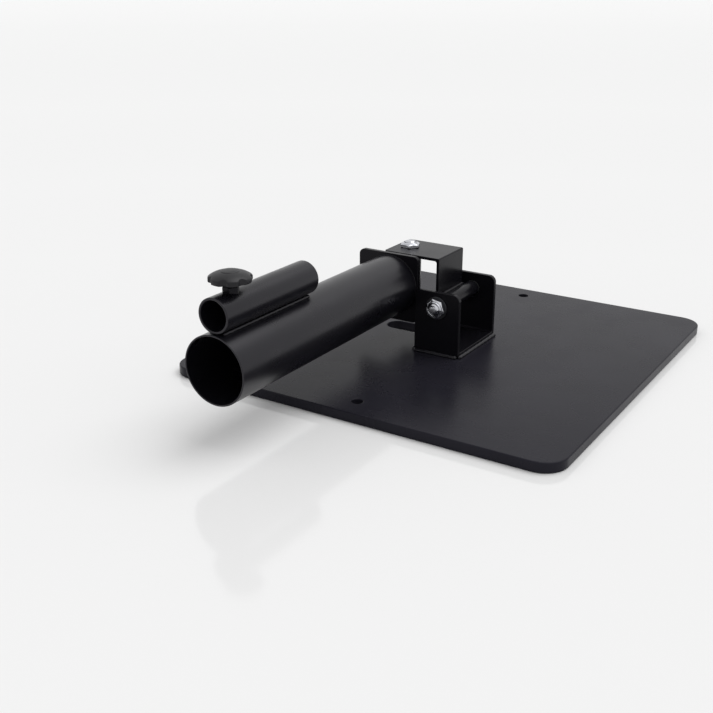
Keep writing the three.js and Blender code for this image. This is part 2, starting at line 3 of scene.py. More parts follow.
import bmesh
import bpy
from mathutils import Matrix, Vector


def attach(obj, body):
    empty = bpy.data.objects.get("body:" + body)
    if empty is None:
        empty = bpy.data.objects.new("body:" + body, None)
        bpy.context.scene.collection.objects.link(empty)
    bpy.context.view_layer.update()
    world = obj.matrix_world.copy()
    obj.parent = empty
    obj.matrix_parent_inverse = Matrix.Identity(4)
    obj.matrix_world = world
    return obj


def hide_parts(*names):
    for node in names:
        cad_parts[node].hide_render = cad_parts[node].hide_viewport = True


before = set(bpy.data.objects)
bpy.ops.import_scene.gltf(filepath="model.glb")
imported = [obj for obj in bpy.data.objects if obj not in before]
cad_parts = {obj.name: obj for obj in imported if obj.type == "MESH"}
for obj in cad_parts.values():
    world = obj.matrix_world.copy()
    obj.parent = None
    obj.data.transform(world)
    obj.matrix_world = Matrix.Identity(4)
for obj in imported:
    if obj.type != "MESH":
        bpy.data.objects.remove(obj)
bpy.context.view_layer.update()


# Floor plate: 8.5 mm mild steel, laser cut with round corners, two holes for
# floor bolts and a slot, its edges tumbled round, then powder coated satin
# black. The coat flows into a faint orange peel and shows light hand smudges.

MM = 0.001
same_point = 0.000002


def node(tree, kind, place, **settings):
    """A shader node at a place in its tree's layout, with its settings by keyword."""
    made = tree.nodes.new(kind)
    made.location = place
    for name, value in settings.items():
        setattr(made, name, value)
    return made


def blank_finish(name):
    """A material with its shader, and the piece's own coordinates."""
    finish = bpy.data.materials.new(name)
    finish.use_nodes = True
    tree = finish.node_tree
    shader = tree.nodes["Principled BSDF"]
    coordinates = node(tree, "ShaderNodeTexCoord", (-1100, 0))
    return finish, tree, shader, coordinates.outputs["Object"]


def grain(tree, coordinates, scale, detail, place, stretch=None):
    """Noise in the piece's own coordinates, scale in features a metre."""
    if stretch:
        mapping = node(tree, "ShaderNodeMapping", (place[0] - 200, place[1]))
        mapping.inputs["Scale"].default_value = stretch
        tree.links.new(coordinates, mapping.inputs["Vector"])
        coordinates = mapping.outputs["Vector"]
    noise = node(tree, "ShaderNodeTexNoise", place)
    noise.inputs["Scale"].default_value = scale
    noise.inputs["Detail"].default_value = detail
    tree.links.new(coordinates, noise.inputs["Vector"])
    return noise.outputs["Fac"]


def spread(tree, source, low, high, place, start=0.3, end=0.7):
    """The noise's middle range, from start to end, spread between two values."""
    ranged = node(tree, "ShaderNodeMapRange", place)
    ranged.inputs["From Min"].default_value = start
    ranged.inputs["From Max"].default_value = end
    ranged.inputs["To Min"].default_value = low
    ranged.inputs["To Max"].default_value = high
    tree.links.new(source, ranged.inputs["Value"])
    return ranged.outputs["Result"]


def tint(tree, source, dark, light, place):
    """Two colours, mixed by a noise."""
    ramp = node(tree, "ShaderNodeValToRGB", place)
    ramp.color_ramp.elements[0].position = 0.35
    ramp.color_ramp.elements[0].color = (*dark, 1)
    ramp.color_ramp.elements[1].position = 0.65
    ramp.color_ramp.elements[1].color = (*light, 1)
    tree.links.new(source, ramp.inputs["Fac"])
    return ramp.outputs["Color"]


def relief(tree, shader, layers):
    """Stacks bumps. Each is a height source, its strength and its depth in metres."""
    normal = None
    for row, (height, strength, depth) in enumerate(layers):
        bump = node(tree, "ShaderNodeBump", (-260, -420 - 180 * row))
        bump.inputs["Strength"].default_value = strength
        bump.inputs["Distance"].default_value = depth
        tree.links.new(height, bump.inputs["Height"])
        if normal:
            tree.links.new(normal, bump.inputs["Normal"])
        normal = bump.outputs["Normal"]
    tree.links.new(normal, shader.inputs["Normal"])


def powder_coat(name, roughness, peel, smudge, shine=0.14, black=(0.005, 0.0048, 0.0064)):
    """Satin black powder coat: orange peel, fine grain and hand smudges.

    smudge is how far the roughness goes up and down, and shine how strongly the
    coat mirrors what it faces."""
    finish, tree, shader, place = blank_finish(name)
    clouds = grain(tree, place, 14, 4, (-800, 300))
    worn = tuple(channel * 1.25 for channel in black)
    tree.links.new(tint(tree, clouds, black, worn, (-520, 300)), shader.inputs["Base Color"])
    gloss = spread(
        tree, grain(tree, place, 34, 6, (-800, 60)),
        roughness - smudge, roughness + smudge, (-520, 40))
    tree.links.new(gloss, shader.inputs["Roughness"])
    relief(tree, shader, [
        (grain(tree, place, 620, 2, (-800, -260)), peel, 0.00012),
        (grain(tree, place, 2600, 1, (-800, -500)), peel * 0.5, 0.00003),
    ])
    shader.inputs["IOR"].default_value = 1.5
    shader.inputs["Specular IOR Level"].default_value = shine
    shader.inputs["Specular Tint"].default_value = (0.95, 0.93, 1, 1)
    return finish


def arc(start, end, steps):
    """Angles from start to end in degrees, as radians."""
    return [radians(start + (end - start) * i / steps) for i in range(steps + 1)]


def rounded_rectangle(x, y, half_x, half_y, radius, steps=10):
    """Points around a rectangle with round corners, in millimetres."""
    points = []
    corners = ((1, 1, 0), (-1, 1, 90), (-1, -1, 180), (1, -1, 270))
    for side_x, side_y, first in corners:
        for angle in arc(first, first + 90, steps):
            points.append((
                x + side_x * (half_x - radius) + radius * cos(angle),
                y + side_y * (half_y - radius) + radius * sin(angle)))
    return points


def eased(low, high, ease, steps=4):
    """Heights from low to high, with how far a rounded edge stands back there."""
    bottom = [(low + ease * (1 - cos(a)), ease * (1 - sin(a))) for a in arc(0, 90, steps)]
    top = [(high - ease * (1 - cos(a)), ease * (1 - sin(a))) for a in arc(90, 0, steps)]
    return bottom + top


def add_rings(solid, rings, hoop=False, capped=True):
    """Skins a run of equal rings of points with quads, and closes its ends."""
    made = [[solid.verts.new(Vector(p) * MM) for p in ring] for ring in rings]
    pairs = list(zip(made, made[1:] + made[:1]))
    for ring, following in pairs if hoop else pairs[:-1]:
        for i, corner in enumerate(ring):
            j = (i + 1) % len(ring)
            solid.faces.new((corner, ring[j], following[j], following[i]))
    if capped and not hoop:
        solid.faces.new(reversed(made[0]))
        solid.faces.new(made[-1])
    return made


def finished_piece(name, solid, finish, sharp=38):
    """The piece's object: welded, smooth up to an angle, in its finish."""
    bmesh.ops.remove_doubles(solid, verts=solid.verts, dist=same_point)
    bmesh.ops.recalc_face_normals(solid, faces=solid.faces)
    for face in solid.faces:
        face.smooth = True
    for edge in solid.edges:
        edge.smooth = len(edge.link_faces) == 2 and edge.calc_face_angle() < radians(sharp)
    mesh = bpy.data.meshes.new(name)
    solid.to_mesh(mesh)
    solid.free()
    mesh.materials.append(finish)
    piece = bpy.data.objects.new(name, mesh)
    bpy.context.scene.collection.objects.link(piece)
    weighted = piece.modifiers.new("flat faces stay flat", "WEIGHTED_NORMAL")
    weighted.keep_sharp = True
    return piece


def lofted(name, rings, finish, hoop=False, sharp=38):
    """A closed piece skinned over its rings."""
    solid = bmesh.new()
    add_rings(solid, rings, hoop)
    return finished_piece(name, solid, finish, sharp)


plate_coat = powder_coat(
    "plate_powder_coat", roughness=0.27, peel=0.16, smudge=0.035, shine=0.09,
    black=(0.0135, 0.0129, 0.018))
plate_x = -3.3
plate_half_x = 175
plate_half_y = 178
plate_thick = 8.5
plate_corner = 20
plate_ease = 1.1
hole_y = 157
hole_radius = 4.75
slot_x = -54.5
slot_y = 13.2
slot_half_length = 22
slot_half_width = 10
opening_ease = 0.6

solid = bmesh.new()
add_rings(solid, [
    [(x, y, z) for x, y in rounded_rectangle(
        plate_x, 0, plate_half_x - inset, plate_half_y - inset, plate_corner - inset)]
    for z, inset in eased(0, plate_thick, plate_ease)], capped=False)
for middle_x, middle_y, half_length, half_width in (
        (plate_x, -hole_y, hole_radius, hole_radius),
        (plate_x, hole_y, hole_radius, hole_radius),
        (slot_x, slot_y, slot_half_length, slot_half_width)):
    add_rings(solid, [
        [(x, y, z) for x, y in rounded_rectangle(
            middle_x, middle_y, half_length + inset, half_width + inset, half_width + inset)]
        for z, inset in eased(0, plate_thick, opening_ease)], capped=False)
bmesh.ops.remove_doubles(solid, verts=solid.verts, dist=same_point)
for level in (0, plate_thick):
    rim = [
        edge for edge in solid.edges
        if edge.is_boundary and abs(edge.verts[0].co.z - level * MM) < 5 * same_point]
    bmesh.ops.triangle_fill(solid, use_beauty=True, edges=rim)
floor_plate = finished_piece("floor_plate", solid, plate_coat)
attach(floor_plate, "base")
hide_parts("base_plate")


# U bracket: a 42.5 mm wide strip of 4 mm steel, bent up at both ends and welded
# to the plate. Its ears carry the axle. Its cut edges keep a small radius that
# catches the light, and the coat is a little smoother than the plate's.

bracket_coat = powder_coat("bracket_powder_coat", roughness=0.24, peel=0.1, smudge=0.03)


def bent_line(corners, offset, radius, steps=8):
    """A line with square bends, beside the one through the corners by an offset.

    Gives a function for the point at a length along it, its whole length, the
    lengths in its bends, and the side it turns to."""
    corners = [Vector(corner) for corner in corners]
    ways = [(onward - here).normalized() for here, onward in zip(corners, corners[1:])]
    sides = [Vector((way.y, -way.x)) * offset for way in ways]
    shifts = [sides[0]] + [one + other for one, other in zip(sides, sides[1:])] + [sides[-1]]
    corners = [corner + shift for corner, shift in zip(corners, shifts)]
    turn = 1 if ways[0].cross(ways[1]) > 0 else -1
    points = [corners[0]]
    lengths = [0]
    stations = []
    for corner, way in zip(corners[1:-1], ways):
        inward = Vector((-way.y, way.x)) * turn
        centre = corner + (inward - way) * radius
        for angle in arc(0, 90, steps):
            points.append(centre + (way * sin(angle) - inward * cos(angle)) * radius)
            lengths.append(lengths[-1] + (points[-1] - points[-2]).length)
            stations.append(lengths[-1])
    points.append(corners[-1])
    lengths.append(lengths[-1] + (points[-1] - points[-2]).length)

    def at(distance):
        i = max(j for j in range(len(points) - 1) if lengths[j] <= distance)
        share = (distance - lengths[i]) / (lengths[i + 1] - lengths[i])
        return points[i].lerp(points[i + 1], share)

    return at, lengths[-1], stations, turn


def bent_strip(name, corners, inner, outer, half_width, thick, corner, ease, place, finish):
    """A flat strip with round corners and eased edges, bent along a line.

    Its bends have an inner and an outer radius. place turns (across the width, first,
    second of the line) into (x, y, z)."""
    turn = bent_line(corners, 0, inner)[3]
    solid = bmesh.new()
    rings = []
    for level, inset in eased(-thick / 2, thick / 2, ease):
        radius = inner + (outer - inner) * (0.5 + turn * level / thick)
        at, whole, stations, _ = bent_line(corners, level, radius)
        near = [(corner - (corner - inset) * cos(a),
                 half_width - corner + (corner - inset) * sin(a)) for a in arc(0, 90, 8)]
        middle = [(distance, half_width - inset) for distance in stations]
        far = [(whole - distance, width) for distance, width in reversed(near)]
        edge = near + middle + far
        ring = [place(width, *at(distance)) for distance, width in edge]
        ring += [place(-width, *at(distance)) for distance, width in reversed(edge)]
        rings.append(ring)
    made = add_rings(solid, rings, capped=False)
    for ring in (made[0], made[-1]):
        count = len(ring)
        for i in range(count // 2 - 1):
            solid.faces.new((ring[i], ring[i + 1], ring[count - 2 - i], ring[count - 1 - i]))
    return finished_piece(name, solid, finish)


ear_middle = 34
ear_top = 64.8
bracket_thick = 4
strip_middle = plate_thick + bracket_thick / 2
bracket = bent_strip(
    "u_bracket",
    [(-ear_middle, ear_top), (-ear_middle, strip_middle),
     (ear_middle, strip_middle), (ear_middle, ear_top)],
    inner=1.5, outer=2, half_width=21.25, thick=bracket_thick, corner=6, ease=0.55,
    place=lambda across, y, z: (across, y, z), finish=bracket_coat)
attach(bracket, "base")
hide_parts("base_bracket")


# Bracket welds: a fillet bead along each side of the strip's foot holds it to
# the plate. Each bead is a row of small overlapping crescents, with a soft start
# and a filled end, and lies under the same black coat.

weld_coat = powder_coat("weld_powder_coat", roughness=0.2, peel=0.2, smudge=0.04, shine=0.3)


def bead(name, start, end, radius, finish, ripple=1.5, lean=(0, 0, 1)):
    """A straight weld bead in crescents from start to end.

    ripple is the length of a crescent, and lean points to the bead's outer side."""
    ring_step = 0.36
    start = Vector(start)
    end = Vector(end)
    along = (end - start).normalized()
    outward = (Vector(lean) - along * Vector(lean).dot(along)).normalized()
    across = along.cross(outward)
    length = (end - start).length
    count = ceil(length / ring_step)
    rings = []
    for i in range(count + 1):
        distance = length * i / count
        from_end = min(distance, length - distance)
        taper = sqrt(max(0, 1 - max(0, 1 - from_end / radius) ** 2))
        ring = []
        for angle in arc(0, 345, 23):
            phase = distance + 0.55 * radius * cos(angle)
            crescent = (phase / ripple) % 1
            size = radius * taper * (0.94 + 0.1 * crescent ** 2 * max(0, cos(angle)))
            drift = 0.05 * radius * sin(distance * 0.9)
            ring.append(
                start + along * distance + outward * (size * cos(angle))
                + across * (size * sin(angle) + drift))
        rings.append(ring)
    return lofted(name, rings, finish, sharp=70)


foot = plate_thick + 0.8
foot_half_width = 22.05
foot_half_length = 36.8
short_of_corner = 1.1
for side_name, x, y in (
        ("left", -1, 0), ("right", 1, 0), ("front", 0, -1), ("back", 0, 1)):
    out = Vector((foot_half_width * x, foot_half_length * y, foot))
    half_run = Vector((
        (foot_half_width - short_of_corner) * y, (foot_half_length - short_of_corner) * x, 0))
    weld = bead(
        "bracket_bead_" + side_name, out - half_run, out + half_run, radius=2.2,
        finish=weld_coat, lean=(x, y, 1))
    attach(weld, "base")
    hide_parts("bracket_weld_" + side_name)


# Axle bolt, its washers and its lock nut: an M10 bolt with a 16 mm hexagon
# passes through both ears and the yoke's tube. The bolt and nut are bright zinc,
# with a bluish cast and the fine marks of tumbling and of a spanner; the washers
# take the same zinc finish, darkened almost to black and made rougher.


def bright_zinc(name, roughness, cast=(0.66, 0.67, 0.71)):
    """Electroplated zinc: metal with fine tumbling marks and dull clouds."""
    finish, tree, shader, place = blank_finish(name)
    clouds = grain(tree, place, 300, 4, (-800, 300))
    dull = tuple(channel * 0.82 for channel in cast)
    tree.links.new(tint(tree, clouds, dull, cast, (-520, 300)), shader.inputs["Base Color"])
    gloss = spread(
        tree, grain(tree, place, 900, 5, (-800, 60)),
        roughness - 0.05, roughness + 0.07, (-520, 40))
    tree.links.new(gloss, shader.inputs["Roughness"])
    relief(tree, shader, [
        (grain(tree, place, 1500, 3, (-800, -260), (1, 1, 5)), 0.12, 0.00004),
    ])
    shader.inputs["Metallic"].default_value = 1
    return finish


zinc = bright_zinc("zinc_plate", roughness=0.14)
# The washers' zinc, its colour darkened almost to black and its roughness raised.
washer_zinc = bright_zinc("washer_zinc", roughness=0.5, cast=(0.06, 0.061, 0.067))


def hex_radius(angle, flats):
    """How far a hexagon's side is from its middle at an angle. A corner is at 0."""
    return flats / 2 / cos(angle % (pi / 3) - pi / 6)


def turned_rings(profile, turn=0, around=72):
    """Rings around an axis, of as many points as around says.

    Each radius and each height is a number or a function of the angle."""
    rings = []
    for radius, height in profile:
        ring = []
        for i in range(around):
            angle = 2 * pi * i / around
            r = radius(angle) if callable(radius) else radius
            h = height(angle) if callable(height) else height
            ring.append((r * cos(angle + turn), r * sin(angle + turn), h))
        rings.append(ring)
    return rings


def laid(rings, origin, axis):
    """Rings made around Z, laid along an axis from an origin."""
    turn = Vector((0, 0, 1)).rotation_difference(Vector(axis))
    return [[Vector(origin) + turn @ Vector(p) for p in ring] for ring in rings]


bolt_flats = 16
nut_height = 4.3
tip_shown = 1.3
head_height = 6.4
bolt_radius = 5


def hexagon_side(flats, low, high, both=False, slope=0.5):
    """Rings up a hexagon's sides, where a cone of a slope cuts its corners back.

    both says that the lower corners are cut as well."""
    edge = flats / 2 * 0.94

    def corner(angle):
        return hex_radius(angle, flats)

    def cut_top(angle):
        return high - max(0, corner(angle) - edge) * slope

    def cut_bottom(angle):
        return low + max(0, corner(angle) - edge) * slope

    bottom = [(edge, low), (corner, cut_bottom)] if both else [(corner, low)]
    return bottom + [
        (lambda angle: corner(angle) - 0.05, lambda angle: cut_top(angle) - 0.28),
        (lambda angle: corner(angle) - 0.16, lambda angle: cut_top(angle) - 0.05),
        (edge, high),
    ]


def hex_bolt(name, length, origin, axis, turn, finish):
    """A bolt along an axis, turned about it. Its head's underside is at the origin.

    The profile starts on the slightly domed tip and goes up the thread."""
    pitch = 1.5
    thread_depth = 0.62
    thread_step = 0.15
    tip_chamfer = 1.45
    under_head = 0.35
    half_flats = bolt_flats / 2
    under_head_radius = half_flats * 0.93
    tip = -length
    thread_low = tip + 0.2
    profile = [(0, tip), (2, tip + 0.03), (3.2, tip + 0.1), (3.55, tip + 0.17)]
    steps = ceil((tip_shown + 3) / thread_step)
    for i in range(steps + 1):
        height = thread_low + i * thread_step

        def thread(angle, height=height):
            turns = ((height - tip) / pitch - angle / (2 * pi)) % 1
            groove = thread_depth * (1 - abs(2 * turns - 1)) ** 0.8
            chamfer = max(0, tip_chamfer - (height - tip))
            return bolt_radius - max(groove, chamfer)

        profile.append((thread, height))
    profile += [
        (bolt_radius, thread_low + steps * thread_step + 0.6),
        (bolt_radius, -0.3),
        (under_head_radius, -0.02),
        (under_head_radius, under_head),
    ]
    profile += hexagon_side(bolt_flats, under_head, head_height)
    profile += [
        (half_flats * 0.84, head_height - 0.02),
        (half_flats * 0.76, head_height - 0.35),
        (half_flats * 0.4, head_height - 0.5),
        (0, head_height - 0.52),
    ]
    rings = turned_rings(profile, turn)
    return lofted(name, laid(rings, origin, axis), finish, sharp=32)


def lock_nut(name, origin, axis, turn, finish):
    """A lock nut along an axis, with its flat face at the origin.

    A narrower collar stands on the hexagon and holds the nylon ring."""
    hex_height = 3.4
    nut_bore = 5.12
    profile = [(nut_bore, 0.3), (5.5, 0.02)]
    profile += hexagon_side(bolt_flats, 0.02, hex_height, both=True)
    profile += [
        (6.6, hex_height),
        (6.42, hex_height + 0.08),
        (6.35, nut_height - 0.5),
        (6.2, nut_height - 0.2),
        (5.95, nut_height - 0.04),
        (5.7, nut_height),
        (5.5, nut_height - 0.1),
        (5.45, nut_height - 1.25),
        (nut_bore, nut_height - 1.3),
    ]
    return lofted(
        name, laid(turned_rings(profile, turn), origin, axis), finish, hoop=True, sharp=32)


def flat_ring(name, bore, radius, low, high, ease, origin, axis, finish):
    """A washer, spacer or sleeve: a ring with eased edges along an axis."""
    outer = [(radius - inset, height) for height, inset in eased(low, high, ease)]
    inner = [(bore + inset, height) for height, inset in reversed(eased(low, high, ease))]
    return lofted(name, laid(turned_rings(outer + inner), origin, axis), finish, hoop=True)


axle_height = 51
axle_turn = radians(48)
ear_outer = ear_middle + bracket_thick / 2
washer_bore = 5.25
washer_radius = 10
washer_thick = 1.2

axle_bolt = hex_bolt(
    "axle_hex_bolt", 2 * (ear_outer + washer_thick) + nut_height + tip_shown,
    (0, ear_outer + washer_thick, axle_height), (0, 1, 0), -axle_turn, zinc)
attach(axle_bolt, "base")
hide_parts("axle_bolt")

axle_nut = lock_nut(
    "axle_lock_nut", (0, -ear_outer - washer_thick, axle_height), (0, -1, 0), axle_turn, zinc)
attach(axle_nut, "base")
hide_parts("axle_nut")

for name, cad_node, side in (
        ("back_washer", "axle_washer_back", 1), ("front_washer", "axle_washer_front", -1)):
    washer = flat_ring(
        name, washer_bore, washer_radius, ear_outer, ear_outer + washer_thick, ease=0.3,
        origin=(0, 0, axle_height), axis=(0, side, 0), finish=washer_zinc)
    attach(washer, "base")
    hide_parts(cad_node)


# Nylon on the axle: a ring pressed into the lock nut grips the thread, and a
# spacer beside each ear keeps the yoke's tube off the coat. All are moulded in
# black nylon, a little waxy and finely mottled.


def moulded_nylon(name):
    """Black nylon: waxy and finely mottled."""
    finish, tree, shader, place = blank_finish(name)
    mottle = grain(tree, place, 240, 3, (-800, 300))
    black = tint(tree, mottle, (0.009, 0.009, 0.01), (0.014, 0.014, 0.015), (-520, 300))
    tree.links.new(black, shader.inputs["Base Color"])
    gloss = spread(tree, grain(tree, place, 700, 3, (-800, 60)), 0.4, 0.52, (-520, 40))
    tree.links.new(gloss, shader.inputs["Roughness"])
    relief(tree, shader, [(grain(tree, place, 1900, 2, (-800, -260)), 0.1, 0.00004)])
    shader.inputs["Specular IOR Level"].default_value = 0.25
    return finish


nylon = moulded_nylon("black_nylon")
insert_bore = 5.1
insert_radius = 5.4
insert_low = nut_height - 1.2
insert_high = nut_height - 0.3
insert = flat_ring(
    "axle_nylon_ring", insert_bore, insert_radius, insert_low, insert_high, ease=0.1,
    origin=(0, -ear_outer - washer_thick, axle_height), axis=(0, -1, 0), finish=nylon)
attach(insert, "base")
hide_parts("axle_nut_insert")

axle_tube_radius = 7
spacer_inner = 30.25
spacer_outer = 31.75
for name, cad_node, side in (
        ("back_spacer", "axle_spacer_back", 1), ("front_spacer", "axle_spacer_front", -1)):
    spacer = flat_ring(
        name, washer_bore, axle_tube_radius, spacer_inner, spacer_outer, ease=0.25,
        origin=(0, 0, axle_height), axis=(0, side, 0), finish=nylon)
    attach(spacer, "base")
    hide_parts(cad_node)


# Yoke: a 45 mm wide strap of 2.6 mm steel, bent to a C that opens to the left
# and holds the swivel. It is welded to a length of 14 mm tube that turns on the
# axle, and coated in one piece with it.

strap_right = -6.1
strap_left = -60.7
strap_top = 89.8
strap_bottom = 34.2
strap_thick = 2.6
web_middle = strap_right - strap_thick / 2
arm_high = strap_top - strap_thick / 2
arm_low = strap_bottom + strap_thick / 2
strap = bent_strip(
    "yoke_c_strap",
    [(strap_left, arm_high), (web_middle, arm_high),
     (web_middle, arm_low), (strap_left, arm_low)],
    inner=2, outer=1.2, half_width=22.5, thick=strap_thick, corner=2.5, ease=0.45,
    place=lambda across, x, z: (x, across, z), finish=bracket_coat)
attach(strap, "yoke")
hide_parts("yoke_strap")

axle_tube_bore = 5.1
axle_tube_half = 30
axle_tube = flat_ring(
    "yoke_turning_tube", axle_tube_bore, axle_tube_radius, -axle_tube_half, axle_tube_half,
    ease=0.15, origin=(0, 0, axle_height), axis=(0, 1, 0), finish=bracket_coat)
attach(axle_tube, "yoke")
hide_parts("yoke_axle_tube")

for name, cad_node, side in (
        ("yoke_bead_upper", "yoke_weld_upper", 1), ("yoke_bead_lower", "yoke_weld_lower", -1)):
    x = -5.26
    y = 22.4
    z = axle_height + side * 5.81
    weld = bead(
        name, (x, -y, z), (x, y, z), radius=1.8, finish=bracket_coat, lean=(0.4, 0, side))
    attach(weld, "yoke")
    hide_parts(cad_node)


# Pivot bolt with its washer, lock nut and nylon ring: it stands through the
# yoke, nut on top, and the bar tube swivels on it. The same fasteners as on the
# axle: bolt and nut in bright zinc, the washer in zinc darkened almost to black.

pivot_x = -47.3
pivot_turn = radians(9)
pivot_bolt = hex_bolt(
    "pivot_hex_bolt", strap_top - strap_bottom + washer_thick + nut_height + tip_shown,
    (pivot_x, 0, strap_bottom - washer_thick), (0, 0, -1), pivot_turn, zinc)
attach(pivot_bolt, "yoke")
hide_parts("pivot_bolt")

pivot_nut = lock_nut("pivot_lock_nut", (pivot_x, 0, strap_top), (0, 0, 1), -pivot_turn, zinc)
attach(pivot_nut, "yoke")
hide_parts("pivot_nut")

# Like the axle's washers, this one takes the zinc finish darkened almost to black.
pivot_washer = flat_ring(
    "pivot_flat_washer", washer_bore, washer_radius, 0, washer_thick, ease=0.3,
    origin=(pivot_x, 0, strap_bottom), axis=(0, 0, -1), finish=washer_zinc)
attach(pivot_washer, "yoke")
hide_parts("pivot_washer")

insert = flat_ring(
    "pivot_nylon_ring", insert_bore, insert_radius, insert_low, insert_high, ease=0.1,
    origin=(pivot_x, 0, strap_top), axis=(0, 0, 1), finish=nylon)
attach(insert, "yoke")
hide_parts("pivot_nut_insert")


# Swivel sleeve and its two flanged bushes: a short steel sleeve turns on the
# pivot bolt, and nylon bushes pressed in at both ends bear against the yoke.

tube_z = 62
sleeve_bore = 6.6
sleeve_radius = 10
sleeve_half = 23.45
sleeve = flat_ring(
    "swivel_sleeve", sleeve_bore, sleeve_radius, -sleeve_half, sleeve_half, ease=0.4,
    origin=(pivot_x, 0, tube_z), axis=(0, 0, 1), finish=bracket_coat)
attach(sleeve, "swivel")
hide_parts("pivot_sleeve")

bush_bore = 5.1
bush_radius = 6.5
flange_radius = 9.4
bush_inner_end = 9.45
bush_outer_end = 24.95
bush_ease = 0.25
for name, cad_node, side in (
        ("bush_upper", "pivot_bush_upper", 1), ("bush_lower", "pivot_bush_lower", -1)):
    profile = [
        (bush_bore, bush_inner_end), (bush_radius - 0.2, bush_inner_end),
        (bush_radius, bush_inner_end + bush_ease), (bush_radius, sleeve_half)]
    profile += [
        (flange_radius - inset, height)
        for height, inset in eased(sleeve_half, bush_outer_end, bush_ease)]
    profile += [
        (bush_bore + bush_ease, bush_outer_end), (bush_bore, bush_outer_end - bush_ease)]
    bush = lofted(
        name, laid(turned_rings(profile), (pivot_x, 0, tube_z), (0, 0, side)), nylon, hoop=True)
    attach(bush, "swivel")
    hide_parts(cad_node)


# Neck and end plate: a 9 mm thick web joins the sleeve to a 4 mm plate that
# closes the bar tube's back end. Beads run down both sides of the web, and the
# plate's corners are rounded.

neck_front = -26.48
neck_back = -9.2
neck_half_thick = 4.5
neck_half_height = 20
neck_corner = 1.2
neck_rings = [
    [(x, y, z) for x, z in rounded_rectangle(
        pivot_x, tube_z, neck_half_thick - inset, neck_half_height - inset,
        neck_corner - inset, steps=4)]
    for y, inset in eased(neck_front, neck_back, 0.4)]
neck = lofted("neck_web", neck_rings, bracket_coat)
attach(neck, "swivel")
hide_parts("neck_plate")

for name, cad_node, side in (
        ("neck_bead_left", "neck_weld_left", -1), ("neck_bead_right", "neck_weld_right", 1)):
    x = pivot_x + side * (neck_half_thick + 0.9)
    y = neck_front + 0.9
    run = neck_half_height - 0.3
    weld = bead(
        name, (x, y, tube_z - run), (x, y, tube_z + run), radius=2.5, finish=weld_coat,
        lean=(side, 1, 0))
    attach(weld, "swivel")
    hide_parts(cad_node)

tube_x = -50.3
end_x = tube_x - 1.45
end_z = tube_z - 1.3
end_half_width = 29.65
end_half_height = 29.8
end_corner = 5
end_front = -30.48
end_rings = [
    [(x, y, z) for x, z in rounded_rectangle(
        end_x, end_z, end_half_width - inset, end_half_height - inset, end_corner - inset)]
    for y, inset in eased(end_front, neck_front, 0.3)]
end_plate = lofted("tube_end_plate", end_rings, bracket_coat)
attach(end_plate, "swivel")
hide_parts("end_plate")


# Bar tube: a 53 mm welded steel tube that takes a barbell's sleeve. Its mouth
# is deburred, a flattened seam runs along the bore, and a bead joins it to the
# end plate all around.

tube_coat = powder_coat(
    "tube_powder_coat", roughness=0.29, peel=0.08, smudge=0.035, shine=0.37,
    black=(0.0045, 0.0043, 0.0062))
tube_radius = 26.5
tube_wall = 1.3
tube_mouth = -269.07


def welded_tube(name, radius, wall, near, far, x, z, ease, seam, finish):
    """A tube along Y with eased ends, and a low seam along its bore.

    seam is the angle at which the seam lies."""
    seam_height = 0.22
    seam_half_width = 1.1

    def bore(inset):
        def at(angle):
            off = (angle - seam + pi) % (2 * pi) - pi
            swell = seam_height * exp(-(off * radius / seam_half_width) ** 2)
            return radius - wall + inset - swell
        return at

    levels = eased(-far, -near, ease)
    outer = [(radius - inset, height) for height, inset in levels]
    inner = [(bore(inset), height) for height, inset in reversed(levels)]
    rings = laid(turned_rings(outer + inner, around=128), (x, 0, z), (0, -1, 0))
    return lofted(name, rings, finish, hoop=True)


bar_tube = welded_tube(
    "bar_sleeve_tube", tube_radius, tube_wall, tube_mouth, end_front, tube_x, tube_z,
    ease=0.4, seam=radians(200), finish=tube_coat)
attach(bar_tube, "swivel")
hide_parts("bar_tube")


def ring_bead(name, radius, leg, y, x, z, finish, ripple=1.6):
    """A fillet bead around a tube where it meets a plate behind it.

    leg is how far it stands out on the plate and on the tube."""
    count = 360
    rings = []
    for i in range(count):
        angle = 2 * pi * i / count
        ring = []
        for share in arc(0, 90, 7):
            phase = radius * angle + 0.6 * leg * cos(2 * share)
            size = leg * (0.93 + 0.1 * ((phase / ripple) % 1) ** 2)
            out = size * cos(share) ** 0.8
            down = size * sin(share) ** 0.8
            r = radius + out
            ring.append((x + r * cos(angle), y - down, z + r * sin(angle)))
        ring.append((x + radius * cos(angle), y, z + radius * sin(angle)))
        rings.append(ring)
    return lofted(name, rings, finish, hoop=True, sharp=70)


tube_bead = ring_bead(
    "bar_tube_bead", tube_radius, 0.8, end_front, tube_x, tube_z, finish=bracket_coat)
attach(tube_bead, "swivel")
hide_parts("bar_tube_weld")


# Small tube: 26 mm tube with a heavier wall, lying on the bar tube and held by
# a bead along each side. It has no hole of its own for the clamp.

small_radius = 13.1
small_wall = 1.8
small_z = 101.9
small_front = -266.88
small_back = -158.08
small_tube = welded_tube(
    "small_top_tube", small_radius, small_wall, small_front, small_back, tube_x, small_z,
    ease=0.45, seam=radians(60), finish=tube_coat)
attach(small_tube, "swivel")
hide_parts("small_tube")

for name, cad_node, side in (
        ("small_bead_left", "small_tube_weld_left", -1),
        ("small_bead_right", "small_tube_weld_right", 1)):
    x = tube_x + side * 5.9
    z = tube_z + tube_radius
    weld = bead(
        name, (x, small_front + 3, z), (x, small_back - 3, z), radius=1.5,
        finish=weld_coat, lean=(side, 0, 0.2))
    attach(weld, "swivel")
    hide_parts(cad_node)


# Clamp: a hexagonal boss that goes through the small tube's top into its bore, a
# threaded stud inside it, and a star knob moulded in black plastic on the stud.

